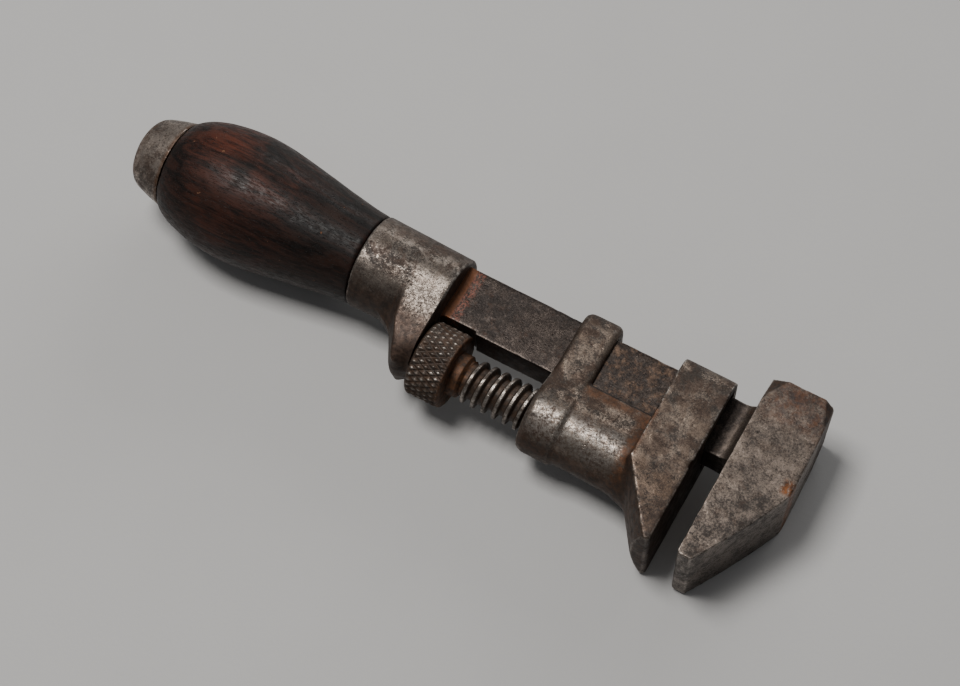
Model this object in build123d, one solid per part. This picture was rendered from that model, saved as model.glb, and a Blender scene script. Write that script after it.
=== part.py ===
from build123d import *
import os
from math import acos, atan2, cos, degrees, hypot, pi, radians, sin

# Screw-adjust monkey wrench with a wooden handle, lying on its side.
# +X runs along the bar towards the head, +Y towards the hammer poll (the jaws point to -Y), +Z is up.
# The dimensions below are measured from the rear face of the sliding jaw, on the bar's centre line;
# the last step moves everything so the origin is the centre of the underside of the whole wrench.

# bar and fixed jaw
BAR_W = 12.7
BAR_T = 7.94
HEAD_T = 21.0
FACE_X = 39.0
ROOT_R = 3.0
POLL_Y = 11.75
TIP_Y = -29.6
NOTCH_Y = -5.70
NOTCH_X = (-25.3, -17.45)
SHOULDER_X = -27.2

# screw
SCREW_Y = -14.0
LEAD = 2.40
CREST_R = 4.76
ROOT_THREAD_R = 3.55
CREST_W = 0.95
FLANK_W = 1.45
THREAD_X = (-14.97, 11.0)
RING_R = 8.0
RING_X = (-25.15, -17.55)
JOURNAL_R = 2.45

# sliding jaw
JAW_T = 20.8
JAW_X = (22.3, 33.5)
JAW_TIP_Y = -29.95
BAND_X = 8.2
BAND_T = 11.2
BARREL_R = 7.4
BAND_R = 8.0
FIT = 0.06
BORE_R = 4.84
BORE_DEPTH = 30.0

# handle end
AXIS_Y = -0.8
FERRULE_X = (-25.3, -45.2)
FERRULE_R = (9.5, 10.0)
EAR_X = -25.6
EAR_R = 9.4
EAR_LEAN = 6.0
EAR_TIP = 1.5
CAVITY_X = -29.9
CAVITY_R = 8.45
TANG_R = 3.97
ROD_R = 3.0
WOOD_X = -91.0
BUTT_X = -99.5
NUT_AF = 13.0

# shift of the whole wrench
SHIFT = (23.35, 8.43, 13.88)


def bar_block(x0, x1, width, thick):
    """Rectangular bar section between two stations along X, centred on the bar's axis."""
    return Pos((x0 + x1) / 2, 0, 0) * Box(x1 - x0, width, thick)


def rod(x0, x1, r, y=0.0):
    """Round section along X."""
    return Pos((x0 + x1) / 2, y, 0) * Rot(0, 90, 0) * Cylinder(r, x1 - x0)


def turned(points, y):
    """Solid of revolution about a line parallel to X from (x, radius) points."""
    with BuildPart() as p:
        with BuildSketch(Plane.XY):
            with BuildLine():
                Polyline(*points, close=True)
            make_face()
        revolve(axis=Axis.X)
    return Pos(0, y, 0) * p.part


def corner_cut(corner, a, b, c):
    """Half-space block that takes off the corner beyond the plane through a, b and c."""
    pa, pb, pc = Vector(*a), Vector(*b), Vector(*c)
    normal = (pb - pa).cross(pc - pa).normalized()
    if normal.dot(Vector(*corner) - pa) < 0:
        normal = normal * -1
    plane = Plane(origin=(pa + pb + pc) * (1 / 3), z_dir=normal)
    return plane * Box(30, 30, 10, align=(Align.CENTER, Align.CENTER, Align.MIN))


def head():
    """Hammer head with the slanting fixed jaw and a chamfered poll."""
    with BuildPart() as p:
        with BuildSketch(Plane.XY):
            with BuildLine():
                Line((FACE_X, POLL_Y), (FACE_X, TIP_Y + 0.6))
                Line((FACE_X, TIP_Y + 0.6), (FACE_X + 0.6, TIP_Y))
                Line((FACE_X + 0.6, TIP_Y), (42.0, TIP_Y))
                ThreePointArc((42.0, TIP_Y), (48.2, -18.8), (52.6, -9.8))
                Line((52.6, -9.8), (52.8, -8.2))
                ThreePointArc((52.8, -8.2), (52.65, 1.0), (52.1, POLL_Y))
                Line((52.1, POLL_Y), (FACE_X, POLL_Y))
            make_face()
        extrude(amount=HEAD_T / 2, both=True)
    body = p.part
    h = HEAD_T / 2
    for s in (1, -1):
        body -= corner_cut((FACE_X, POLL_Y, s * h), (FACE_X + 3.3, POLL_Y, s * h),
                           (FACE_X, POLL_Y, s * (h - 2.4)), (FACE_X, POLL_Y - 5.2, s * h))
        body -= corner_cut((52.1, POLL_Y, s * h), (50.1, POLL_Y, s * h),
                           (52.1, POLL_Y, s * (h - 2.4)), (52.5, POLL_Y - 6.6, s * h))
    return body


def root_fillet(side):
    """Concave web between the bar's flat side and the back of the fixed jaw."""
    z = BAR_T / 2
    with BuildPart() as p:
        with BuildSketch(Plane.XZ):
            with BuildLine():
                Line((FACE_X - ROOT_R, side * z), (FACE_X + 0.5, side * z))
                Line((FACE_X + 0.5, side * z), (FACE_X + 0.5, side * (z + ROOT_R)))
                Line((FACE_X + 0.5, side * (z + ROOT_R)), (FACE_X, side * (z + ROOT_R)))
                d = ROOT_R * (1 - cos(pi / 4))
                ThreePointArc((FACE_X, side * (z + ROOT_R)), (FACE_X - d, side * (z + d)),
                              (FACE_X - ROOT_R, side * z))
            make_face()
        extrude(amount=BAR_W / 2, both=True)
    return p.part


def bar_and_fixed_jaw():
    """One forging: head, bar, notch for the screw's ring, shoulder and tang."""
    part = head() + bar_block(SHOULDER_X, FACE_X + 1.0, BAR_W, BAR_T)
    part += root_fillet(1) + root_fillet(-1)
    x0, x1 = NOTCH_X
    part -= Pos((x0 + x1) / 2, (NOTCH_Y - BAR_W / 2) / 2 - 1.0, 0) * Box(
        x1 - x0, BAR_W / 2 + NOTCH_Y + 2.0, BAR_T + 1)
    part += rod(-38.0, SHOULDER_X + 1.0, TANG_R, AXIS_Y)
    part += rod(BUTT_X + 1.2, -37.0, ROD_R, AXIS_Y)
    return part


def jaw_plate():
    """Front plate of the sliding jaw, with rounded shoulders and a bowed, sloping back."""
    x0, x1 = JAW_X
    with BuildPart() as p:
        with BuildSketch(Plane.XY):
            with BuildLine():
                Polyline((x0, 8.1), (x1, 8.1), (x1, -29.3), (x1 - 0.6, JAW_TIP_Y), (29.9, JAW_TIP_Y),
                         (x0 - 0.94, -18.0), (x0 - 0.94, -17.0), (x0, -15.7), close=True)
            make_face()
        extrude(amount=JAW_T / 2, both=True)
    plate = p.part
    with BuildPart() as q:
        with BuildSketch(Plane.YZ):
            with Locations((-15.95, 0)):
                RectangleRounded(48.1, JAW_T, 4.5)
            with Locations((-30.0, 0)):
                Rectangle(20.0, JAW_T)
        extrude(amount=45)
    plate = plate & q.part
    bow, half = 1.9, JAW_T / 2
    radius = (half * half + bow * bow) / (2 * bow)
    ax, ay, bx, by = x0 - 0.94, -18.0, 29.9, JAW_TIP_Y
    length = hypot(bx - ax, by - ay)
    nx, ny = (by - ay) / length, -(bx - ax) / length
    mid = ((ax + bx) / 2 - nx * radius, (ay + by) / 2 - ny * radius)
    angle = degrees(atan2(by - ay, bx - ax))
    drum = Pos(mid[0], mid[1], 0) * Rot(0, 0, angle) * Rot(0, 90, 0) * Cylinder(radius, 160)
    return plate & drum


def barrel():
    """Round screw housing with a lip that grips the near edge of the bar."""
    lip = (-5.0, 4.9)
    dy, dz = lip[0] - SCREW_Y, lip[1]
    ang = atan2(dz, dy) + acos(BARREL_R / hypot(dy, dz))
    ty, tz = SCREW_Y + BARREL_R * cos(ang), BARREL_R * sin(ang)
    with BuildPart() as p:
        with BuildSketch(Plane.YZ):
            with BuildLine():
                ThreePointArc((ty, tz), (SCREW_Y - BARREL_R, 0), (ty, -tz))
                Polyline((ty, -tz), (lip[0], -lip[1]), (lip[0], lip[1]), (ty, tz))
            make_face()
        extrude(amount=JAW_X[0] + 2.0)
    collar = turned([(9.0, 0), (9.0, BARREL_R - 0.1), (20.0, BARREL_R + 0.25), (23.5, BARREL_R + 1.2),
                     (25.8, BARREL_R + 2.1), (25.8, 0)], SCREW_Y)
    return p.part + collar


def rear_band():
    """Band round the bar at the back of the sliding jaw, swelling into the screw housing."""
    top = 9.5
    with BuildPart() as p:
        with BuildSketch(Plane.YZ):
            with Locations((SCREW_Y, 0)):
                Circle(BAND_R)
            with Locations(((top + SCREW_Y) / 2, 0)):
                RectangleRounded(top - SCREW_Y, BAND_T, 3.2)
        extrude(amount=BAND_X)
    part = p.part
    rims = part.edges().filter_by_position(Axis.X, -0.01, 0.01) + \
        part.edges().filter_by_position(Axis.X, BAND_X - 0.01, BAND_X + 0.01)
    return fillet(rims, 1.5)


def sliding_jaw():
    """One casting: rear band, screw housing and front jaw, bored for the bar and the screw."""
    part = jaw_plate() + barrel() + rear_band()
    part -= bar_block(-2.0, 45.0, BAR_W + 2 * FIT, BAR_T + 2 * FIT)
    z = BAR_T / 2 + FIT
    for s in (1, -1):
        with BuildPart() as p:
            with BuildSketch(Plane.XZ):
                with BuildLine():
                    Polyline((JAW_X[1] - 3.3, s * (z - 0.5)), (JAW_X[1] + 0.5, s * (z - 0.5)),
                             (JAW_X[1] + 0.5, s * (z + 3.8)), (JAW_X[1], s * (z + 3.3)),
                             (JAW_X[1] - 3.3, s * z), close=True)
                make_face()
            extrude(amount=BAR_W / 2 + FIT, both=True)
        part -= p.part
    part -= rod(-2.0, BORE_DEPTH, BORE_R, SCREW_Y)
    return part


def thread_ridge():
    """Left-hand helical ridge of the adjusting screw."""
    x0, x1 = THREAD_X
    path = Helix(LEAD, x1 - x0, ROOT_THREAD_R - 0.15, lefthand=True)
    h0, h1 = FLANK_W / 2 + 0.06, CREST_W / 2
    depth = CREST_R - ROOT_THREAD_R + 0.15
    with BuildSketch(Plane(origin=path @ 0, x_dir=(1, 0, 0), z_dir=path % 0)) as s:
        with BuildLine():
            Polyline((0, -h0), (depth, -h1), (depth, h1), (0, h0), close=True)
        make_face()
    ridge = sweep(s.sketch, path=path, is_frenet=True)
    return Pos(x0, SCREW_Y, 0) * Rot(0, 90, 0) * Rot(0, 0, 90) * ridge


def adjusting_screw():
    """One turned piece: journal, thumb ring, collar and threaded shank."""
    r0, r1 = RING_X
    shaft = turned([(r0 - 3.7, 0), (r0 - 3.7, JOURNAL_R - 0.4), (r0 - 3.3, JOURNAL_R), (r0, JOURNAL_R),
                    (r0, RING_R - 0.5), (r0 + 0.5, RING_R), (r1 - 0.3, RING_R), (r1, RING_R - 0.3),
                    (r1, CREST_R - 0.2), (r1 + 2.2, CREST_R - 0.2), (r1 + 2.9, ROOT_THREAD_R),
                    (THREAD_X[1] + 0.5, ROOT_THREAD_R), (THREAD_X[1] + 1.1, ROOT_THREAD_R - 0.6),
                    (THREAD_X[1] + 1.1, 0)], SCREW_Y)
    return shaft + thread_ridge()


def ear_section(x, shoulder, corner, low):
    """Outline of the step across the ferrule: flat top to a shoulder, round to a corner, then in to the tip."""
    lean = radians(EAR_LEAN)
    ay, az = AXIS_Y - EAR_R * sin(lean), EAR_R * cos(lean)
    sy, cy = shoulder[0], corner[0]
    plane = Plane(origin=(x, 0, 0), x_dir=(0, 1, 0), z_dir=(1, 0, 0))
    with BuildSketch(plane) as s:
        with BuildLine():
            Line((ay, az), shoulder)
            TangentArc(shoulder, corner, tangent=(sy - ay, shoulder[1] - az))
            Line(corner, (low, EAR_TIP))
            Line((low, EAR_TIP), (low, -EAR_TIP))
            Line((low, -EAR_TIP), (cy, -corner[1]))
            TangentArc((sy, -shoulder[1]), (cy, -corner[1]), tangent=(sy - ay, az - shoulder[1]))
            Line((sy, -shoulder[1]), (ay, -az))
            Line((ay, -az), (ay, az))
        make_face()
    return s.sketch.faces()[0]


def ear():
    """Step that carries the screw's journal, with a sharp back edge, tapering back into the ferrule."""
    sections = ((EAR_X, (-13.0, 8.1), (-18.8, 4.4), -19.3), (-27.6, (-13.0, 7.9), (-19.1, 4.4), -19.7),
                (-29.3, (-13.2, 7.8), (-19.0, 5.3), -19.8), (-30.9, (-12.5, 7.9), (-15.0, 7.3), -17.9),
                (-32.4, (-9.5, 8.3), (-11.9, 7.7), -15.1), (-34.0, (-6.0, 8.3), (-8.9, 6.3), -12.8),
                (-36.0, (-5.5, 7.7), (-8.2, 5.2), -11.5), (-37.6, (-4.8, 7.0), (-7.4, 4.6), -10.3))
    return loft([ear_section(*row) for row in sections])


def step_ferrule():
    """Ferrule: a cup over the front of the handle, with the step for the screw on its near side."""
    f0, f1 = FERRULE_X
    part = turned([(f0, 0), (f0, FERRULE_R[0] - 0.3), (f0 - 0.3, FERRULE_R[0]), (f1 + 0.3, FERRULE_R[1]),
                   (f1, FERRULE_R[1] - 0.3), (f1, 0)], AXIS_Y)
    part += ear()
    part -= rod(f1 - 5.0, CAVITY_X, CAVITY_R, AXIS_Y)
    part -= bar_block(SHOULDER_X - 0.05, f0 + 1.0, BAR_W + 0.04, BAR_T + 0.04)
    part -= rod(CAVITY_X - 1.0, f0, TANG_R + 0.03, AXIS_Y)
    part -= rod(f0 - 4.0, f0 + 1.0, JOURNAL_R + 0.05, SCREW_Y)
    return part


def ferrule_nut():
    """Six-sided nut that holds the ferrule's front wall against the bar's shoulder."""
    x0, x1 = CAVITY_X - 5.6, CAVITY_X - 0.03
    with BuildPart() as p:
        with BuildSketch(Plane.YZ):
            RegularPolygon(NUT_AF / 2, 6, major_radius=False)
        extrude(amount=x1 - x0)
    nut = Pos(x0, AXIS_Y, 0) * p.part
    return nut - rod(x0 - 1, x1 + 1, TANG_R + 0.02, AXIS_Y)


def handle():
    """Turned grip with a spigot for the ferrule, a tapered end for the cap and a bore for the tang."""
    f1 = FERRULE_X[1]
    with BuildPart() as p:
        with BuildSketch(Plane.XY):
            with BuildLine():
                Polyline((WOOD_X - 5.0, 0), (WOOD_X - 5.0, 5.6), (WOOD_X + 0.03, 7.8), (WOOD_X + 0.03, 9.75))
                Spline((WOOD_X + 0.03, 9.75), (-89.3, 11.0), (-85.8, 12.45), (-81.5, 13.4), (-76.4, 13.85),
                       (-72.0, 13.75), (-66.0, 13.0), (-60.0, 12.0), (-54.0, 11.0), (-49.0, 10.25),
                       (f1 - 0.03, 9.9))
                Polyline((f1 - 0.03, 9.9), (f1 - 0.03, CAVITY_R - 0.03), (CAVITY_X - 6.4, CAVITY_R - 0.03),
                         (CAVITY_X - 6.4, 0), (WOOD_X - 5.0, 0))
            make_face()
        revolve(axis=Axis.X)
    grip = Pos(0, AXIS_Y, 0) * p.part
    grip -= rod(-110.0, CAVITY_X, ROD_R + 0.03, AXIS_Y)
    return grip - rod(-38.1, CAVITY_X, TANG_R + 0.03, AXIS_Y)


def butt_cap():
    """Tapered iron cap over the end of the handle, recessed for the nut on the tang."""
    b, w = BUTT_X, WOOD_X
    return turned([(w, 7.83), (w, 9.7), (w - 3.2, 8.9), (w - 6.0, 8.05), (w - 7.1, 7.5), (w - 7.8, 6.8),
                   (b + 0.2, 5.9), (b, 5.0), (b, 4.4), (b + 2.3, 4.4), (b + 2.3, ROD_R + 0.03),
                   (w - 5.06, ROD_R + 0.03), (w - 5.06, 5.6)], AXIS_Y)


def tang_nut():
    """Slotted round nut on the threaded end of the tang."""
    b = BUTT_X
    nut = turned([(b + 0.4, ROD_R + 0.02), (b + 0.4, 3.9), (b + 0.7, 4.2), (b + 2.27, 4.2),
                  (b + 2.27, ROD_R + 0.02)], AXIS_Y)
    return nut - Pos(b + 0.4, AXIS_Y, 0) * Box(1.4, 10.0, 1.1)


NODES = {
    "bar_and_fixed_jaw": bar_and_fixed_jaw,
    "sliding_jaw": sliding_jaw,
    "adjusting_screw": adjusting_screw,
    "step_ferrule": step_ferrule,
    "ferrule_nut": ferrule_nut,
    "handle": handle,
    "butt_cap": butt_cap,
    "tang_nut": tang_nut,
}

os.makedirs("parts", exist_ok=True)
for name, make in NODES.items():
    export_step(Pos(*SHIFT) * make(), f"parts/{name}.step")
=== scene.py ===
import bpy
import math
import numpy as np
from mathutils import Matrix, Vector


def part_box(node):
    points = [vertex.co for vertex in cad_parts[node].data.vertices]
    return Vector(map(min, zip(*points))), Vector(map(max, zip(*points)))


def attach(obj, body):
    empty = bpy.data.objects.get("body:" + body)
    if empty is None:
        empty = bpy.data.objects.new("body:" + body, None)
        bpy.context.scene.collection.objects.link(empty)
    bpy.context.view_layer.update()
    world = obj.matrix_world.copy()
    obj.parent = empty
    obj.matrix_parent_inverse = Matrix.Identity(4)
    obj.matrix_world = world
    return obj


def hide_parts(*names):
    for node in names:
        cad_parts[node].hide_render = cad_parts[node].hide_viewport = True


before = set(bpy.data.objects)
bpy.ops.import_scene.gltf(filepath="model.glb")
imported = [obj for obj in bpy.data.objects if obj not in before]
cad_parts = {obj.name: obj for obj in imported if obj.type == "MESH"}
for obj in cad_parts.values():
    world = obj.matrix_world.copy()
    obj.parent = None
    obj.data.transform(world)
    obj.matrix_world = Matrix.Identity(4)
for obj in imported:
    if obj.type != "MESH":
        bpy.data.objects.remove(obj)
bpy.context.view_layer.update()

# Shapes are worked out in millimetres from the wrench's own axes: X along the bar from the rear face of
# the sliding jaw, Y across it towards the poll, Z up, with the bar's centre line at y = z = 0.
MM = 0.001
low_bar, high_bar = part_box("bar_and_fixed_jaw")
low_jaw, high_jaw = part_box("sliding_jaw")
low_screw, high_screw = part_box("adjusting_screw")
SCREW_Y = -14.0
SHIFT = np.array([low_jaw.x / MM, (low_screw.y + high_screw.y) / 2 / MM - SCREW_Y,
                  (low_screw.z + high_screw.z) / 2 / MM])

# screw: a journal, a knurled thumb ring, a collar and a shank with a left-hand thread
RING_X = (-25.15, -17.55)
RING_R = 8.0
COLLAR_R = 4.56
COLLAR_END = -15.2
JOURNAL_R = 2.45
JOURNAL_END = -28.85
LEAD = 2.40
CREST_R = 4.76
ROOT_R = 3.55
CREST_HALF = 0.27      # from the middle of a crest to the end of its flat
FLANK_FOOT = 0.84      # from the middle of a crest to the root
CREST_AT = -13.2       # where a crest crosses CREST_ANGLE, measured from +Y towards +Z
CREST_ANGLE = math.radians(95)
SHANK_END = 12.0
KNURL_COUNT = 34       # grooves of each family round the ring
KNURL_REPEAT = 2.7     # from one groove of a family to the next along the ring
KNURL_DEPTH = 0.42
OVERLAP = 0.3          # how far the ring's faces run into the journal and the collar
REAR_FACE_R = 4.0      # one more row of points on each of the ring's faces and on the shank's end
FRONT_FACE_R = 6.2
END_FACE_R = 0.8
SCREW_WEAR = 0.035

# handle and cap
SWELL = 14.7                        # the handle's widest place, from its rear end
WOOD_END = -91.0                    # where the wood meets the cap
CAP_END_X = (-98.4, -96.6)          # the cap's end browns over this stretch
RED_WOOD_X = (-86.0, -64.0)         # hands have worn the wood red here
RED_WOOD_Y = (-9.0, 3.0)            # less so towards the screw's side

# ferrule
STEP_TIP_Y = (-13.0, -7.0)          # painted shade darkens the tip of the step over this stretch
COARSE_Y = (-6.0, -2.0)             # coarse stains begin towards the step
FAR_SIDE_Y = (2.0, 6.5)             # the side away from the screw browns

# bar and head
BAR_X = (-30.0, 36.5)               # the flat bar
NEAR_RUST_X = (-27.5, -23.6)        # rust against the ferrule
RED_PAINT_X = (-23.6, -21.8)        # traces of paint beside the rust
SLOT_BAR_X = (7.0, 24.0)            # the bar between the sliding jaw's band and plate
POLL_X = (38.0, 42.0)               # the brown of the poll begins
POLL_Y = (0.5, 6.5)
CHAMFER_X = (36.0, 38.0)            # painted shade on the poll's chamfers and leaning faces begins
CHAMFER_Y = (3.0, 5.5)
HEAD_SPOT_X = (50.4, 52.9)          # one bright rust spot on the head
HEAD_SPOT_Y = (-9.5, -6.6)

# sliding jaw
BAND_END = 8.2                      # front of the band round the bar
PLATE_X = 22.3                      # back of the jaw plate
PAINTED_BARREL_HIGHLIGHT_X = (1.0, 20.0)       # painted highlight: the barrel over the screw is painted bright here
PAINTED_BARREL_HIGHLIGHT_Y = (-20.0, -13.0)
JAW_TIP_Y = (-19.0, -11.0)          # painted shade darkens the plate towards its tip
LIP_Y = (-7.6, -5.2)                # rust on the lip beside the bar
SEAM_SHADOW_Y = (-5.5, -4.6)               # a painted shadow line between lip and bar
CORNER_Y = (-7.0, -5.0)             # rust in the corner between barrel and plate


# ---------------------------------------------------------------- camera, floor and light
CAM_AT = Vector((0.10255, -0.14502, 0.39971))
CAM_RIGHT = Vector((0.869361, 0.493432, -0.027156))
CAM_UP = Vector((-0.439556, 0.797213, 0.413813))
CAM_BACK = Vector((0.225837, -0.347816, 0.909957))
SENSOR = 36.0
LENS = 79.5
LIGHT_AIM = Vector((0, 0, 0.01))
SKY = (0.97, 0.98, 1.0, 1)
SKY_STRENGTH = 0.16


def link(obj):
    bpy.context.scene.collection.objects.link(obj)
    return obj


def make_camera():
    data = bpy.data.cameras.new("camera")
    data.sensor_width = SENSOR
    data.lens = LENS
    cam = link(bpy.data.objects.new("camera", data))
    m = Matrix((CAM_RIGHT, CAM_UP, CAM_BACK)).transposed().to_4x4()
    m.translation = CAM_AT
    cam.matrix_world = m
    bpy.context.scene.camera = cam


def area_light(name, at, size, power, colour):
    data = bpy.data.lights.new(name, "AREA")
    data.shape = "RECTANGLE"
    data.size, data.size_y = size
    data.energy = power
    data.color = colour
    obj = link(bpy.data.objects.new(name, data))
    obj.location = at
    obj.rotation_mode = "QUATERNION"
    obj.rotation_quaternion = (LIGHT_AIM - Vector(at)).to_track_quat("-Z", "Y")


def make_light():
    area_light("key", at=(-0.21, -0.02, 0.78), size=(0.26, 0.26), power=5.5, colour=(1.0, 0.98, 0.95))
    area_light("back", at=(0.05, 0.85, 0.40), size=(0.8, 0.3), power=3.0, colour=(1.0, 0.99, 0.97))
    world = bpy.data.worlds.new("studio")
    world.use_nodes = True
    background = world.node_tree.nodes["Background"]
    background.inputs["Color"].default_value = SKY
    background.inputs["Strength"].default_value = SKY_STRENGTH
    bpy.context.scene.world = world


# ---------------------------------------------------------------- materials
class Shader:
    """A Principled material whose textures read the wrench's own millimetre axes."""

    def __init__(self, name):
        self.material = bpy.data.materials.new(name)
        self.material.use_nodes = True
        self.tree = self.material.node_tree
        self.surface = self.tree.nodes["Principled BSDF"]
        coord = self.tree.nodes.new("ShaderNodeTexCoord")
        self.axes = self.stretched(coord.outputs["Object"], (1 / MM,) * 3, -SHIFT)

    def add(self, kind, **settings):
        node = self.tree.nodes.new(kind)
        for key, value in settings.items():
            setattr(node, key, value)
        return node

    def put(self, socket, value):
        if isinstance(value, bpy.types.NodeSocket):
            self.tree.links.new(value, socket)
        elif isinstance(value, tuple) and len(value) == 3 and socket.type == "RGBA":
            socket.default_value = (*value, 1)
        else:
            socket.default_value = value

    def stretched(self, vector, scale, offset=(0, 0, 0)):
        node = self.add("ShaderNodeMapping")
        self.put(node.inputs["Vector"], vector)
        node.inputs["Scale"].default_value = scale
        node.inputs["Location"].default_value = offset
        return node.outputs[0]

    def along(self, squeeze):
        """The axes squeezed along X, so that a pattern read there is drawn out along the wrench."""
        return self.stretched(self.axes, (squeeze, 1.0, 1.0))

    def noise(self, scale, detail=4.0, rough=0.6, twist=0.0, at=None):
        node = self.add("ShaderNodeTexNoise")
        self.put(node.inputs["Vector"], at or self.axes)
        node.inputs["Scale"].default_value = scale
        node.inputs["Detail"].default_value = detail
        node.inputs["Roughness"].default_value = rough
        node.inputs["Distortion"].default_value = twist
        return node.outputs["Fac"]

    def cells(self, scale):
        """Distance to the nearest of many scattered points."""
        node = self.add("ShaderNodeTexVoronoi")
        self.put(node.inputs["Vector"], self.axes)
        node.inputs["Scale"].default_value = scale
        return node.outputs["Distance"]

    def math(self, kind, a, b, clamp=False):
        node = self.add("ShaderNodeMath", operation=kind, use_clamp=clamp)
        self.put(node.inputs[0], a)
        self.put(node.inputs[1], b)
        return node.outputs[0]

    def times(self, value, *factors):
        for factor in factors:
            value = self.math("MULTIPLY", value, factor)
        return value

    def plus(self, a, b):
        return self.math("ADD", a, b)

    def minus(self, a, b, clamp=False):
        return self.math("SUBTRACT", a, b, clamp)

    def most(self, value, *others):
        for other in others:
            value = self.math("MAXIMUM", value, other)
        return value

    def step(self, value, low, high, out_low=0.0, out_high=1.0):
        """Smooth step from out_low to out_high as value goes from low to high."""
        node = self.add("ShaderNodeMapRange", interpolation_type="SMOOTHSTEP")
        for socket, v in zip(node.inputs, (value, low, high, out_low, out_high)):
            self.put(socket, v)
        return node.outputs[0]

    def patches(self, scale, low, high, detail=5.0, rough=0.7, twist=0.0):
        """Scattered patches: 1 where a noise is over high, fading to 0 where it is under low."""
        return self.step(self.noise(scale, detail, rough, twist), low, high)

    def mix(self, amount, a, b, kind="MIX"):
        node = self.add("ShaderNodeMix", data_type="RGBA", blend_type=kind)
        self.put(node.inputs["Factor"], amount)
        self.put(node.inputs[6], a)
        self.put(node.inputs[7], b)
        return node.outputs[2]

    def shaded(self, colour, shade):
        return self.mix(1.0, colour, shade, "MULTIPLY")

    def blend(self, amount, a, b):
        node = self.add("ShaderNodeMix", data_type="FLOAT")
        self.put(node.inputs["Factor"], amount)
        self.put(node.inputs[2], a)
        self.put(node.inputs[3], b)
        return node.outputs[0]

    def layer(self, name):
        """A per-vertex value that the mesh code stored."""
        return self.add("ShaderNodeAttribute", attribute_name=name).outputs["Fac"]

    def axis(self, letter):
        node = self.add("ShaderNodeSeparateXYZ")
        self.put(node.inputs[0], self.axes)
        return node.outputs[letter]

    def rise(self, letter, low, high):
        """0 below the first station along an axis, 1 beyond the second."""
        return self.step(self.axis(letter), low, high)

    def fall(self, letter, low, high):
        """1 below the first station along an axis, 0 beyond the second."""
        return self.step(self.axis(letter), low, high, 1.0, 0.0)

    def band(self, letter, low, high, soft):
        """1 between two stations along one axis, fading over soft millimetres each side of them."""
        value = self.axis(letter)
        return self.times(self.step(value, low - soft, low + soft),
                          self.step(value, high - soft, high + soft, 1.0, 0.0))

    def lean(self, steep=0.25, level=0.85):
        """1 where the surface leans, 0 where it faces up or its edge is worn."""
        coord = self.add("ShaderNodeTexCoord")
        parts = self.add("ShaderNodeSeparateXYZ")
        self.put(parts.inputs[0], coord.outputs["Normal"])
        whole = self.step(self.layer("edge"), 0.2, 0.6, 1.0, 0.0)
        return self.times(whole, self.step(parts.outputs["Z"], steep, level, 1.0, 0.0))

    def finish(self, colour, metal, rough, height, depth):
        """Wires up the surface, with a bump of depth millimetres for a height of 1."""
        self.put(self.surface.inputs["Base Color"], colour)
        self.put(self.surface.inputs["Metallic"], metal)
        self.put(self.surface.inputs["Roughness"], rough)
        bump = self.add("ShaderNodeBump")
        bump.inputs["Strength"].default_value = 1.0
        bump.inputs["Distance"].default_value = depth * MM
        self.put(bump.inputs["Height"], height)
        self.put(self.surface.inputs["Normal"], bump.outputs["Normal"])
        return self.material


# bare metal
STEEL = (0.24, 0.215, 0.195)
CAST = (0.235, 0.195, 0.165)
IRON = (0.44, 0.39, 0.355)
# bright worn steel for the worn edges, also laid on the barrel as a painted highlight
WORN_AND_PAINTED_HIGHLIGHT = (0.42, 0.385, 0.35)
BAR_GREY = (0.128, 0.117, 0.112)
METAL_TINTS = ((0.72, 0.70, 0.70), (1.22, 1.14, 1.04))
BAR_SHADES = ((0.26, 0.25, 0.25), (0.74, 0.71, 0.69))
BAR_TONE = (0.84, 0.80, 0.78)
# painted shade: darker copies of the metal for the jaw tip and the step's tip
JAW_TIP_SHADE = (0.60, 0.55, 0.52)
STEP_TIP_SHADE = (0.50, 0.43, 0.40)

# films, stains and painted shade: a pair is mottled between its two tones
DARK = (0.016, 0.012, 0.010)
BROWN = (0.036, 0.018, 0.010)
ORANGE = (0.17, 0.052, 0.012)
# near black: a coarse speckle on the step, and the dark of the painted shade on leaning sides
GRIME_AND_PAINTED_SHADE = (0.015, 0.0085, 0.0055)
UMBER = (0.050, 0.023, 0.011)
RED_PAINT = (0.25, 0.085, 0.055)
SPOTS = (DARK, UMBER)
# painted shade on leaning sides, mottled with rust brown
PAINTED_SIDE_SHADE = (GRIME_AND_PAINTED_SHADE, UMBER)
SANDY = ((0.060, 0.034, 0.021), (0.26, 0.165, 0.105))
NEAR_RUST = (UMBER, (0.21, 0.070, 0.018))
BRIGHT_RUST = (UMBER, (0.26, 0.090, 0.022))
POLL_RUST = ((0.028, 0.019, 0.018), (0.110, 0.046, 0.022))
# painted shade on the poll's leaning faces: near black, mottled with rust brown
CHAMFER_SHADE = ((0.008, 0.006, 0.005), UMBER)
LIP_RUST = (UMBER, (0.115, 0.048, 0.020))
CORNER_RUST = (UMBER, (0.12, 0.045, 0.016))
COARSE_FILM = (GRIME_AND_PAINTED_SHADE, (0.060, 0.042, 0.033))
FERRULE_FILM = ((0.026, 0.0155, 0.011), (0.085, 0.050, 0.034))
# painted shade on the ferrule's leaning sides, mottled with rust brown
FERRULE_PAINTED_SIDE_SHADE = (GRIME_AND_PAINTED_SHADE, (0.040, 0.021, 0.012))
CAP_RUST = (UMBER, (0.085, 0.040, 0.018))
THREAD_RUST = ((0.015, 0.010, 0.007), (0.055, 0.027, 0.013))
COLLAR_RUST = ((0.030, 0.016, 0.009), (0.125, 0.050, 0.018))

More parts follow.
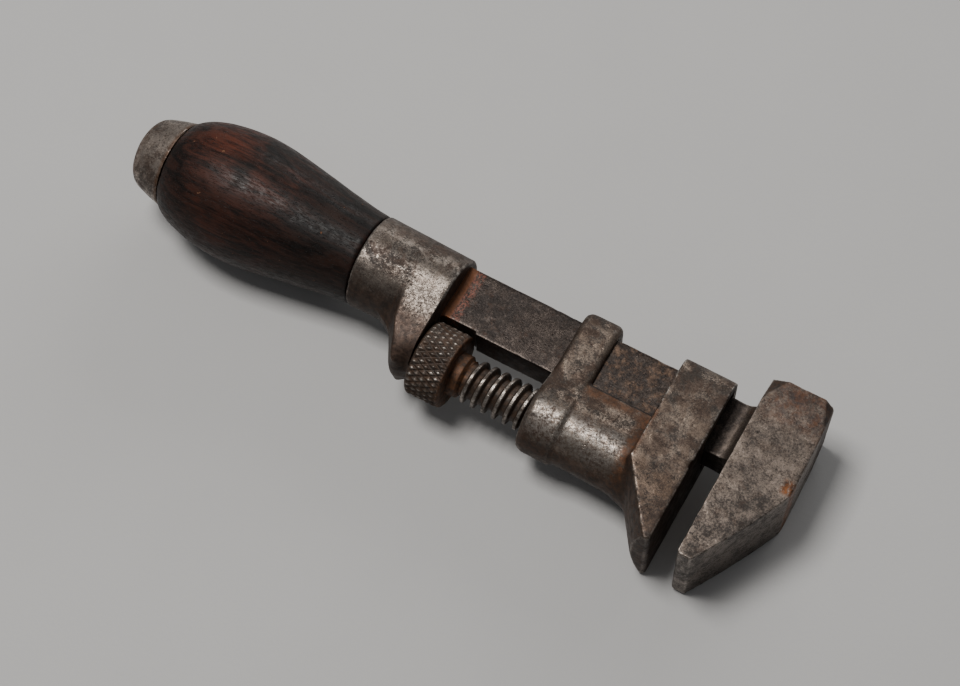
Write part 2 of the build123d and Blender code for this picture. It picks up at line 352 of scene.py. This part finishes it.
# wood and floor
RED_WOOD = ((0.010, 0.0040, 0.0028), (0.080, 0.022, 0.012))
BLACK_WOOD = ((0.0035, 0.0022, 0.0018), (0.020, 0.0090, 0.0060))
PORES = (0.006, 0.004, 0.003)
BARE_WOOD = (0.16, 0.075, 0.04)
FLOOR = ((0.47, 0.465, 0.46), (0.51, 0.505, 0.50))


def mottled_over(s, colour, film, amount, tones):
    """Lays a mottled colour over a colour, for the stains and the painted shade alike, and adds it to the
    film that dulls the metal.
    """
    tone = s.mix(s.patches(0.8, 0.36, 0.64, 6.0, 0.75), *tones)
    return s.mix(amount, colour, tone), s.most(film, amount)


def old_steel(name, patina=0.5, brown=0.5, grain=1.0, orange=0.3, steel=STEEL, extra=None):
    """Bare steel gone dull: fine dark pits, brown patches, rust in the corners and bright worn edges."""
    s = Shader(name)
    broad = s.noise(0.14, 3.0, 0.6, 0.4)
    clouds = s.noise(0.55, 5.0, 0.65, 0.3)
    speck = s.noise(1.9 * grain, 8.0, 0.8)
    cover = s.plus(s.plus(s.times(broad, 0.8), s.times(clouds, 0.5)), s.times(speck, 1.2))
    dark = s.step(cover, 1.38 - 0.5 * patina, 1.66 - 0.5 * patina)
    rusty = s.patches(0.30, 0.62 - 0.25 * brown, 0.76 - 0.25 * brown, 6.0, 0.7, 0.5)
    metal_colour = s.shaded(steel, s.mix(s.noise(0.9, 4.0, 0.6), *METAL_TINTS))
    colour = s.mix(s.times(dark, 0.9), metal_colour, s.mix(rusty, DARK, BROWN))
    colour = s.mix(s.times(rusty, 0.55 * brown), colour, BROWN)
    stain = s.times(s.step(s.layer("hollow"), 0.10, 0.6), s.patches(0.7, 0.30, 0.6))
    colour = s.mix(stain, colour, s.mix(orange, BROWN, ORANGE))
    edge = s.times(s.step(s.layer("edge"), 0.25, 0.8), s.patches(0.9, 0.42, 0.62))
    colour = s.mix(s.times(edge, 0.8), colour, WORN_AND_PAINTED_HIGHLIGHT)
    hole = s.times(s.step(s.cells(1.1 * grain), 0.06, 0.30, 1.0, 0.0), s.step(clouds, 0.45, 0.6))
    colour = s.mix(s.times(hole, 0.7), colour, DARK)
    pepper = s.times(s.patches(2.2 * grain, 0.50, 0.58, 4.0, 0.65), s.step(clouds, 0.36, 0.54), 0.62)
    colour = s.mix(pepper, colour, s.mix(0.4, DARK, BROWN))
    film = s.most(s.times(dark, 0.9), stain, pepper)
    if extra:
        colour, film = extra(s, colour, film)
    bare = s.most(s.minus(1.0, film), edge)
    metal = s.step(bare, 0.0, 1.0, 0.45, 0.95)
    rough = s.blend(bare, s.step(clouds, 0.3, 0.7, 0.50, 0.68), s.step(speck, 0.3, 0.7, 0.26, 0.42))
    height = s.minus(s.minus(s.times(speck, 0.9), s.times(hole, 0.5)), s.times(dark, 0.2))
    return s.finish(colour, metal, rough, height, 0.10)


def bar_stains(s, colour, film):
    """A dull bar with painted shade on its sides, mottled with rust brown, and traces by the ferrule, and a
    head with a rust spot, a brown poll and painted shade on the poll's chamfers.
    """
    bar = s.band("X", *BAR_X, 1.0)
    even = s.times(bar, 0.6)
    colour = s.mix(even, colour, BAR_GREY)
    film = s.times(film, s.minus(1.0, even))
    cloud = s.times(s.patches(0.55, 0.35, 0.65), 0.35)
    fine = s.minus(s.patches(2.6, 0.36, 0.66, 7.0, 0.8), cloud, clamp=True)
    colour = s.mix(bar, colour, s.shaded(colour, s.mix(fine, *BAR_SHADES)))
    spots = s.times(bar, s.patches(0.50, 0.56, 0.63, 5.0, 0.72, 0.3), 0.75)
    colour, film = mottled_over(s, colour, film, spots, SPOTS)
    middle = s.times(s.band("X", *SLOT_BAR_X, 1.0), s.patches(0.6, 0.46, 0.64, 6.0, 0.8), 0.60)
    colour, film = mottled_over(s, colour, film, middle, SANDY)
    # painted shade: the leaning sides of bar and head darkened by their normal, mottled with rust brown
    side_shade = s.times(bar, s.lean(), s.patches(0.4, 0.2, 0.45), 0.92)
    colour, film = mottled_over(s, colour, film, side_shade, PAINTED_SIDE_SHADE)
    spot = s.times(s.band("X", *HEAD_SPOT_X, 0.5), s.band("Y", *HEAD_SPOT_Y, 0.5),
                   s.patches(1.1, 0.36, 0.50))
    colour, film = mottled_over(s, colour, film, spot, BRIGHT_RUST)
    colour, by_ferrule = ferrule_traces(s, colour)
    colour = s.shaded(colour, BAR_TONE)
    poll = s.times(s.rise("X", *POLL_X), s.rise("Y", *POLL_Y), s.patches(0.6, 0.36, 0.58, 6.0, 0.75), 0.82)
    colour, film = mottled_over(s, colour, film, poll, POLL_RUST)
    # painted shade: the poll's leaning faces darkened by their normal
    chamfer_shade = s.times(s.rise("X", *CHAMFER_X), s.rise("Y", *CHAMFER_Y), s.lean(0.78, 0.92), 0.9)
    colour, film = mottled_over(s, colour, film, chamfer_shade, CHAMFER_SHADE)
    return colour, s.most(film, by_ferrule)


def ferrule_traces(s, colour):
    """Rust on the bar against the ferrule and traces of red paint beside it, and where they are."""
    near = s.times(s.band("X", *NEAR_RUST_X, 0.3), s.patches(0.9, 0.16, 0.36, 4.0, 0.6))
    colour = s.mix(s.times(near, 0.95), colour, s.mix(s.noise(1.4), *NEAR_RUST))
    red = s.times(s.band("X", *RED_PAINT_X, 0.6), s.patches(1.5, 0.49, 0.55, 7.0, 0.8))
    return s.mix(s.times(red, 0.75), colour, RED_PAINT), s.most(near, red)


def jaw_stains(s, colour, film):
    """Painted shade on the jaw tip, a painted highlight on the barrel, rust at the lip over the bar with a
    painted shadow line beside it, and painted shade on the sides, mottled with rust brown.
    """
    # painted shade: the plate darkened towards its tip
    tip = s.times(s.fall("Y", *JAW_TIP_Y), s.rise("X", PLATE_X - 2.8, PLATE_X - 0.8))
    colour = s.mix(tip, colour, s.shaded(colour, JAW_TIP_SHADE))
    # painted highlight on the barrel over the screw: bright bare steel laid on, with its film thinned
    wood_wear_and_painted_barrel_highlight = s.times(s.band("Y", *PAINTED_BARREL_HIGHLIGHT_Y, 2.0), s.band("X", *PAINTED_BARREL_HIGHLIGHT_X, 2.5),
                     s.patches(1.3, 0.42, 0.58, 7.0, 0.85), 0.5)
    colour = s.mix(wood_wear_and_painted_barrel_highlight, colour, WORN_AND_PAINTED_HIGHLIGHT)
    film = s.times(film, s.minus(1.0, wood_wear_and_painted_barrel_highlight))
    between = s.band("X", BAND_END - 0.6, PLATE_X + 0.6, 0.5)
    lip = s.times(between, s.band("Y", *LIP_Y, 0.9), s.patches(0.7, 0.30, 0.52, 6.0, 0.7), 0.85)
    colour, film = mottled_over(s, colour, film, lip, LIP_RUST)
    # painted shadow: a black line along the seam between lip and bar
    seam_shadow = s.times(between, s.band("Y", *SEAM_SHADOW_Y, 0.15))
    colour = s.mix(s.times(seam_shadow, 0.95), colour, DARK)
    corner = s.times(s.band("X", PLATE_X - 2.2, PLATE_X + 0.5, 0.9), s.fall("Y", *CORNER_Y),
                     s.patches(0.6, 0.34, 0.55), 0.85)
    colour, film = mottled_over(s, colour, film, corner, CORNER_RUST)
    # painted shade: the leaning sides of the jaw darkened by their normal, mottled with rust brown
    side_shade = s.times(s.lean(), s.patches(0.35, 0.18, 0.42), 0.92)
    colour, film = mottled_over(s, colour, film, side_shade, PAINTED_SIDE_SHADE)
    return colour, s.most(film, seam_shadow)


def ferrule_stains(s, colour, film):
    """Painted shade and brown film over the tip of the step, brown film on the far side, and painted shade
    on the low sides of the ferrule, mottled with rust brown.
    """
    coarse = s.times(s.fall("Y", *COARSE_Y), s.patches(1.5, 0.47, 0.57, 6.0, 0.8), 0.72)
    colour, film = mottled_over(s, colour, film, coarse, COARSE_FILM)
    # painted shade: the step darkened towards its tip, with brown film over it
    below = s.fall("Y", *STEP_TIP_Y)
    colour = s.mix(below, colour, s.shaded(colour, STEP_TIP_SHADE))
    tip = s.times(below, s.patches(1.2, 0.24, 0.58, 6.0, 0.75), 0.86)
    far = s.times(s.rise("Y", *FAR_SIDE_Y), s.patches(0.5, 0.34, 0.58, 6.0, 0.7), 0.75)
    colour, film = mottled_over(s, colour, film, s.most(tip, far), FERRULE_FILM)
    # painted shade: the leaning sides of the ferrule darkened by their normal, mottled with rust brown
    side_shade = s.times(s.lean(), s.patches(0.35, 0.16, 0.40), 0.92)
    return mottled_over(s, colour, film, side_shade, FERRULE_PAINTED_SIDE_SHADE)


def cap_stains(s, colour, film):
    """A brown end, a thin line of rust against the wood, and painted shade on the sides."""
    rim = s.times(s.rise("X", WOOD_END - 1.3, WOOD_END - 0.4), s.patches(0.9, 0.3, 0.5, 5.0, 0.6), 0.85)
    end = s.times(s.fall("X", *CAP_END_X), s.patches(0.7, 0.34, 0.56, 6.0, 0.7), 0.75)
    colour, film = mottled_over(s, colour, film, s.most(rim, end), CAP_RUST)
    # painted shade: the leaning sides of the cap darkened by their normal
    side_shade = s.times(s.lean(), s.patches(0.5, 0.42, 0.66), 0.6)
    return mottled_over(s, colour, film, side_shade, PAINTED_SIDE_SHADE)


def screw_stains(s, colour, film):
    """Brown rust everywhere but on the rubbed crests, redder on the collar."""
    gap = s.minus(1.0, s.step(s.layer("edge"), 0.35, 0.85))
    colour, film = mottled_over(s, colour, film, s.times(gap, 0.9, s.patches(0.8, 0.20, 0.45)), THREAD_RUST)
    collar = s.times(s.band("X", RING_X[1] - 0.3, COLLAR_END + 0.8, 0.4), s.patches(0.5, 0.22, 0.50), 0.85)
    colour, film = mottled_over(s, colour, film, collar, COLLAR_RUST)
    return colour, s.most(film, s.times(gap, 0.6))


def wood():
    """Old dark hardwood with a rubbed varnish, red where hands have worn it, and a few small chips."""
    s = Shader("dark_wood")
    fibres = s.along(0.07)
    wide = s.noise(0.42, 5.0, 0.6, 1.4, at=fibres)
    fine = s.noise(2.6, 6.0, 0.7, 0.6, at=fibres)
    grain = s.plus(s.times(wide, 0.65), s.times(fine, 0.45))
    pores = s.step(s.noise(6.5, 2.0, 0.5, at=s.along(0.10)), 0.60, 0.70)
    wood_wear_and_painted_barrel_highlight = s.times(s.band("X", *RED_WOOD_X, 8.0), s.patches(0.09, 0.34, 0.58, 3.0, 0.6),
                     s.step(s.axis("Y"), *RED_WOOD_Y, 0.35, 1.0))
    red = s.mix(s.step(grain, 0.42, 0.66), *RED_WOOD)
    black = s.mix(s.step(grain, 0.45, 0.68), *BLACK_WOOD)
    colour = s.mix(s.times(pores, 0.75), s.mix(wood_wear_and_painted_barrel_highlight, black, red), PORES)
    chips = s.patches(0.85, 0.735, 0.76, 2.0, 0.5, 0.2)
    colour = s.mix(s.times(chips, 0.8), colour, BARE_WOOD)
    sheen = s.noise(1.7, 6.0, 0.75, 0.4, at=s.along(0.30))
    rough = s.plus(s.blend(s.step(sheen, 0.32, 0.66), 0.33, 0.62), s.times(chips, 0.3))
    s.surface.inputs["Specular IOR Level"].default_value = 0.22
    height = s.minus(s.minus(s.times(fine, 0.35), s.times(pores, 0.5)), s.times(chips, 0.8))
    return s.finish(colour, 0.0, rough, height, 0.06)


def floor_material():
    s = Shader("floor")
    tone = s.mix(s.noise(0.02, 5.0, 0.6), *FLOOR)
    return s.finish(tone, 0.0, 0.75, s.noise(0.9, 4.0, 0.6), 0.04)


# ---------------------------------------------------------------- mesh tools
NOISE_TABLE = 24       # cells each way before the values repeat
NOISE_TURN = np.array(Matrix.Rotation(1.0, 3, Vector((1, 2, 3))))


def value_noise(points, cell, seed):
    """Smooth random values from -1 to 1 on a grid of cell millimetres, turned away from the axes."""
    table = np.random.default_rng(seed).uniform(-1, 1, (NOISE_TABLE,) * 3)
    q = points @ NOISE_TURN.T / cell
    base = np.floor(q).astype(int)
    f = q - base
    f = f * f * (3 - 2 * f)
    total = np.zeros(len(points))
    for corner in np.ndindex(2, 2, 2):
        weight = np.prod(np.where(np.array(corner, bool), f, 1 - f), axis=1)
        i, j, k = ((base + corner) % NOISE_TABLE).T
        total += weight * table[i, j, k]
    return total


def rough_noise(points, cell, seed):
    """Three value noises added up, each half as large and half as strong as the one before."""
    return sum(value_noise(points, cell / 2 ** n, seed + n) / 2 ** n for n in range(3))


def even_mesh(node, voxel):
    """The CAD node in the wrench's millimetre axes, meshed again in even small faces."""
    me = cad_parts[node].data.copy()
    me.transform(Matrix.Translation(Vector(-SHIFT)) @ Matrix.Scale(1 / MM, 4))
    source = link(bpy.data.objects.new("source", me))
    mod = source.modifiers.new("even", "REMESH")
    mod.mode = "VOXEL"
    mod.voxel_size = voxel
    graph = bpy.context.evaluated_depsgraph_get()
    result = bpy.data.meshes.new_from_object(source.evaluated_get(graph))
    bpy.data.objects.remove(source)
    return result


def points_of(me):
    co = np.empty(len(me.vertices) * 3)
    me.vertices.foreach_get("co", co)
    return co.reshape(-1, 3)


def edges_of(me):
    ends = np.empty(len(me.edges) * 2, int)
    me.edges.foreach_get("vertices", ends)
    return ends.reshape(-1, 2)


def relaxed(co, ends, rounds):
    """Points pulled half way to the mean of their neighbours, some times over."""
    a, b = ends.T
    degree = np.bincount(ends.ravel(), minlength=len(co))[:, None]
    for _ in range(rounds):
        mean = np.stack([np.bincount(a, co[b, k], len(co)) + np.bincount(b, co[a, k], len(co))
                         for k in range(3)], axis=1) / degree
        co = (co + mean) / 2
    return co


def set_points(me, co):
    me.vertices.foreach_set("co", co.ravel())
    me.update()


def set_layer(me, name, values):
    layer = me.attributes.new(name, "FLOAT", "POINT")
    layer.data.foreach_set("value", np.clip(values, 0, 1))


def normals_of(me):
    n = np.empty(len(me.vertices) * 3)
    me.vertex_normals.foreach_get("vector", n)
    return n.reshape(-1, 3)


def place(me, node, body, material):
    """Puts a finished millimetre mesh in the frame as the worn piece that stands for a CAD node."""
    me.transform(Matrix.Scale(MM, 4) @ Matrix.Translation(Vector(SHIFT)))
    me.materials.clear()
    me.materials.append(material)
    me.polygons.foreach_set("use_smooth", [True] * len(me.polygons))
    me.update()
    piece = link(bpy.data.objects.new(node + "_worn", me))
    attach(piece, body)
    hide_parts(node)


RELIEF_ROUNDS = 14     # rounds of smoothing that show where edges and hollows are
RELIEF_GAIN = 1.6
DENT_SIZE, DENT_LEVEL = 6.0, 1.2        # grain, and the noise level under which the surface is dented
PIT_SIZE, PIT_LEVEL = 1.6, 0.55         # the same, with the level over which it is pitted
NICK_SIZE, NICK_LEVEL = 2.2, 0.1


def worn_mesh(node, voxel, rounding, dents, pits, nicks, seed, shape=None):
    """A CAD node with softened edges, shallow dents, pits and nicked corners, all cut inwards."""
    me = even_mesh(node, voxel)
    ends = edges_of(me)
    co = relaxed(points_of(me), ends, rounding)
    if shape:
        co = shape(co)
    set_points(me, co)
    normal = normals_of(me)
    relief = np.sum((co - relaxed(co, ends, RELIEF_ROUNDS)) * normal, axis=1) / voxel * RELIEF_GAIN
    edge = np.clip(relief, 0, 1)
    hollow = np.clip(-relief, 0, 1)
    dent = rough_noise(co, DENT_SIZE, seed) - DENT_LEVEL
    pit = np.clip(rough_noise(co, PIT_SIZE, seed + 10) - PIT_LEVEL, 0, 1)
    nick = edge * np.clip(rough_noise(co, NICK_SIZE, seed + 20) - NICK_LEVEL, 0, 1)
    depth = dents * dent - pits * pit - nicks * nick
    set_points(me, co + normal * np.minimum(depth, 0)[:, None])
    set_layer(me, "edge", edge)
    set_layer(me, "hollow", hollow)
    return me


def skin(rows, steps):
    """Closed skin round the screw's axis from rows of (x, radius per angle): points and faces."""
    angle = np.arange(steps) * 2 * math.pi / steps
    points = [(rows[0][0], SCREW_Y, 0.0)]
    for x, radius in rows:
        r = np.broadcast_to(radius, (steps,))
        points += list(zip(np.full(steps, x), SCREW_Y + r * np.cos(angle), r * np.sin(angle)))
    points.append((rows[-1][0], SCREW_Y, 0.0))
    faces = []
    for i in range(steps):
        j = (i + 1) % steps
        faces.append((0, 1 + j, 1 + i))
        for k in range(len(rows) - 1):
            a, b = 1 + k * steps, 1 + (k + 1) * steps
            faces.append((a + i, a + j, b + j, b + i))
        last = 1 + (len(rows) - 1) * steps
        faces.append((last + i, last + j, len(points) - 1))
    return points, faces


# ---------------------------------------------------------------- pieces
def zigzag(phase):
    """0 in the grooves at whole numbers, 1 half way between them."""
    return 1 - np.abs(2 * (phase % 1.0) - 1)


def ring_rows():
    """Thumb ring with two crossing families of knurl grooves, which fade towards its bevelled rims."""
    per_groove = 16
    steps = KNURL_COUNT * per_groove
    turns = np.arange(steps) / steps * KNURL_COUNT
    rear, front = RING_X
    rear_bevel, front_bevel = 0.55, 0.45
    rear_rim, front_rim = 0.4, 0.3
    rear_fade, front_fade = 0.9, 0.8
    top, rim_drop, flattening = RING_R - 0.03, 0.12, 1.2
    length = front - rear - (rear_rim + front_rim)
    cells = round(length / KNURL_REPEAT * per_groove)
    rows = [(rear, JOURNAL_R - OVERLAP), (rear, REAR_FACE_R), (rear, RING_R - rear_bevel)]
    crown = [0.0] * 3
    for k in range(cells + 1):
        x = rear + rear_rim + length * k / cells
        height = np.minimum(zigzag(turns + x / KNURL_REPEAT), zigzag(turns - x / KNURL_REPEAT))
        height = np.minimum(height * flattening, 1.0)
        full = min(1.0, (x - rear) / rear_fade, (front - x) / front_fade)
        rows.append((x, top - KNURL_DEPTH * (1 - height) * full - rim_drop * (1 - full)))
        crown.append(np.maximum(height, 1 - full))
    rows += [(front, RING_R - front_bevel), (front, FRONT_FACE_R), (front, COLLAR_R - OVERLAP)]
    crown += [0.0] * 3
    return rows, steps, crown


def thread_height(x, angle):
    """0 in the root to 1 on the crest of the left-hand thread."""
    crest = CREST_AT - LEAD * (angle - CREST_ANGLE) / (2 * math.pi)
    off = np.abs((x - crest + LEAD / 2) % LEAD - LEAD / 2)
    t = np.clip((FLANK_FOOT - off) / (FLANK_FOOT - CREST_HALF), 0, 1)
    return t * t * (3 - 2 * t)


def shank_rows():
    """Journal, collar and threaded shank, the thread growing out of the root over half a turn."""
    steps = 120
    angle = np.arange(steps) * 2 * math.pi / steps
    rear, front = RING_X
    inside, spacing, dull = 0.5, 0.1, 0.2
    journal_bevel, collar_bevel, end_bevel = 0.4, 0.7, 0.6
    rows = [(JOURNAL_END, JOURNAL_R - journal_bevel), (JOURNAL_END + journal_bevel, JOURNAL_R),
            (rear + inside, JOURNAL_R), (front - inside, COLLAR_R), (front + spacing, COLLAR_R)]
    crown = [dull] * 3 + [0.0] * 2
    start = front + 2 * spacing
    count = round((SHANK_END - end_bevel - start) / spacing)
    for k in range(count + 1):
        x = start + k * spacing
        thread = thread_height(x, angle) * np.clip((x - COLLAR_END) / (LEAD / 2), 0, 1)
        collar = np.clip((COLLAR_END - x) / collar_bevel + 0.5, 0, 1)
        r = ROOT_R + (CREST_R - ROOT_R) * thread
        rows.append((x, np.maximum(r, ROOT_R + (COLLAR_R - ROOT_R) * collar)))
        crown.append(thread)
    rows += [(SHANK_END, ROOT_R - end_bevel), (SHANK_END, END_FACE_R)]
    crown += [dull] * 2
    return rows, steps, crown


def make_screw(material):
    """The screw as two closed skins, lightly worn, with its crests stored as worn edges."""
    seed, wear_size, wear_level, rubbed_size = 70, 0.9, 0.6, 1.2
    points, faces, edge = [], [], []
    for rows, steps, crown in (ring_rows(), shank_rows()):
        p, f = skin(rows, steps)
        faces += [tuple(i + len(points) for i in face) for face in f]
        points += p
        edge += [0.0] + [v for c in crown for v in np.broadcast_to(c, (steps,))] + [0.0]
    me = bpy.data.meshes.new("adjusting_screw")
    me.from_pydata(points, [], faces)
    me.update()
    co = np.array(points)
    normal = normals_of(me)
    wear = SCREW_WEAR * np.minimum(rough_noise(co, wear_size, seed) - wear_level, 0)
    set_points(me, co + normal * wear[:, None])
    set_layer(me, "edge", np.array(edge) * (0.75 + 0.25 * value_noise(co, rubbed_size, seed + 1)))
    set_layer(me, "hollow", np.zeros(len(co)))
    place(me, "adjusting_screw", "screw", material)


def chipped_edge(co):
    """Takes a chip out of the front edge of the sliding jaw's top face."""
    chip_y, half_width, reach_x, reach_z = -12.6, 0.9, 1.2, 1.6
    cut = (0.35, 0.0, 0.15)
    front = high_jaw.x / MM - SHIFT[0]
    top = high_jaw.z / MM - SHIFT[2]
    near = np.exp(-((co[:, 1] - chip_y) / half_width) ** 4)
    near *= np.clip(1 - (front - co[:, 0]) / reach_x, 0, 1) * np.clip(1 - (top - co[:, 2]) / reach_z, 0, 1)
    return co - np.outer(near, cut)


def worn_piece(node, body, slot, material, **wear):
    """Wears a CAD node and puts the result in its place."""
    place(worn_mesh(node, **wear), node, body, material)


def make_pieces():
    forged = old_steel("forged_steel", patina=0.50, brown=0.40, grain=1.2, orange=0.35, extra=bar_stains)
    cast = old_steel("cast_steel", patina=0.60, brown=0.75, grain=1.4, orange=0.25, steel=CAST,
                     extra=jaw_stains)
    ferrule = old_steel("ferrule_steel", patina=0.52, brown=0.60, grain=1.4, extra=ferrule_stains)
    turned = old_steel("turned_steel", patina=0.55, brown=0.55, grain=1.3, extra=screw_stains)
    iron = old_steel("cap_iron", patina=0.60, brown=0.55, grain=1.2, steel=IRON, extra=cap_stains)
    worn_piece("bar_and_fixed_jaw", "frame", "forged_steel", forged,
               voxel=0.30, rounding=2, dents=0.02, pits=0.07, nicks=0.14, seed=11)
    worn_piece("sliding_jaw", "jaw", "cast_steel", cast,
               voxel=0.27, rounding=3, dents=0.03, pits=0.08, nicks=0.18, seed=22, shape=chipped_edge)
    worn_piece("step_ferrule", "frame", "ferrule_steel", ferrule,
               voxel=0.24, rounding=1, dents=0.03, pits=0.08, nicks=0.15, seed=33)
    worn_piece("handle", "frame", "dark_wood", wood(),
               voxel=0.40, rounding=4, dents=0.05, pits=0.05, nicks=0.15, seed=44)
    worn_piece("butt_cap", "frame", "cap_iron", iron,
               voxel=0.25, rounding=4, dents=0.06, pits=0.10, nicks=0.35, seed=55)
    worn_piece("tang_nut", "frame", "turned_steel", turned,
               voxel=0.12, rounding=3, dents=0.02, pits=0.03, nicks=0.10, seed=66)
    make_screw(turned)
    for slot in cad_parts["ferrule_nut"].material_slots:
        slot.material = turned


def make_floor():
    """Pale floor, in metres, just under the two places that the wrench lies on: swell and head."""
    low_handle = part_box("handle")[0]
    swell_x = low_handle.x + SWELL * MM
    slope = (low_bar.z - low_handle.z) / (high_bar.x - swell_x)
    clear, half, n = 0.0002, 1.6, 24
    at = [-half + 2 * half * i / n for i in range(n + 1)]
    points = [(x, y, low_handle.z + slope * (x - swell_x) - clear) for x in at for y in at]
    corners = [i * (n + 1) + j for i in range(n) for j in range(n)]
    me = bpy.data.meshes.new("floor")
    me.from_pydata(points, [], [(a, a + n + 1, a + n + 2, a + 1) for a in corners])
    me.materials.append(floor_material())
    link(bpy.data.objects.new("floor", me))


make_camera()
make_light()
make_floor()
make_pieces()
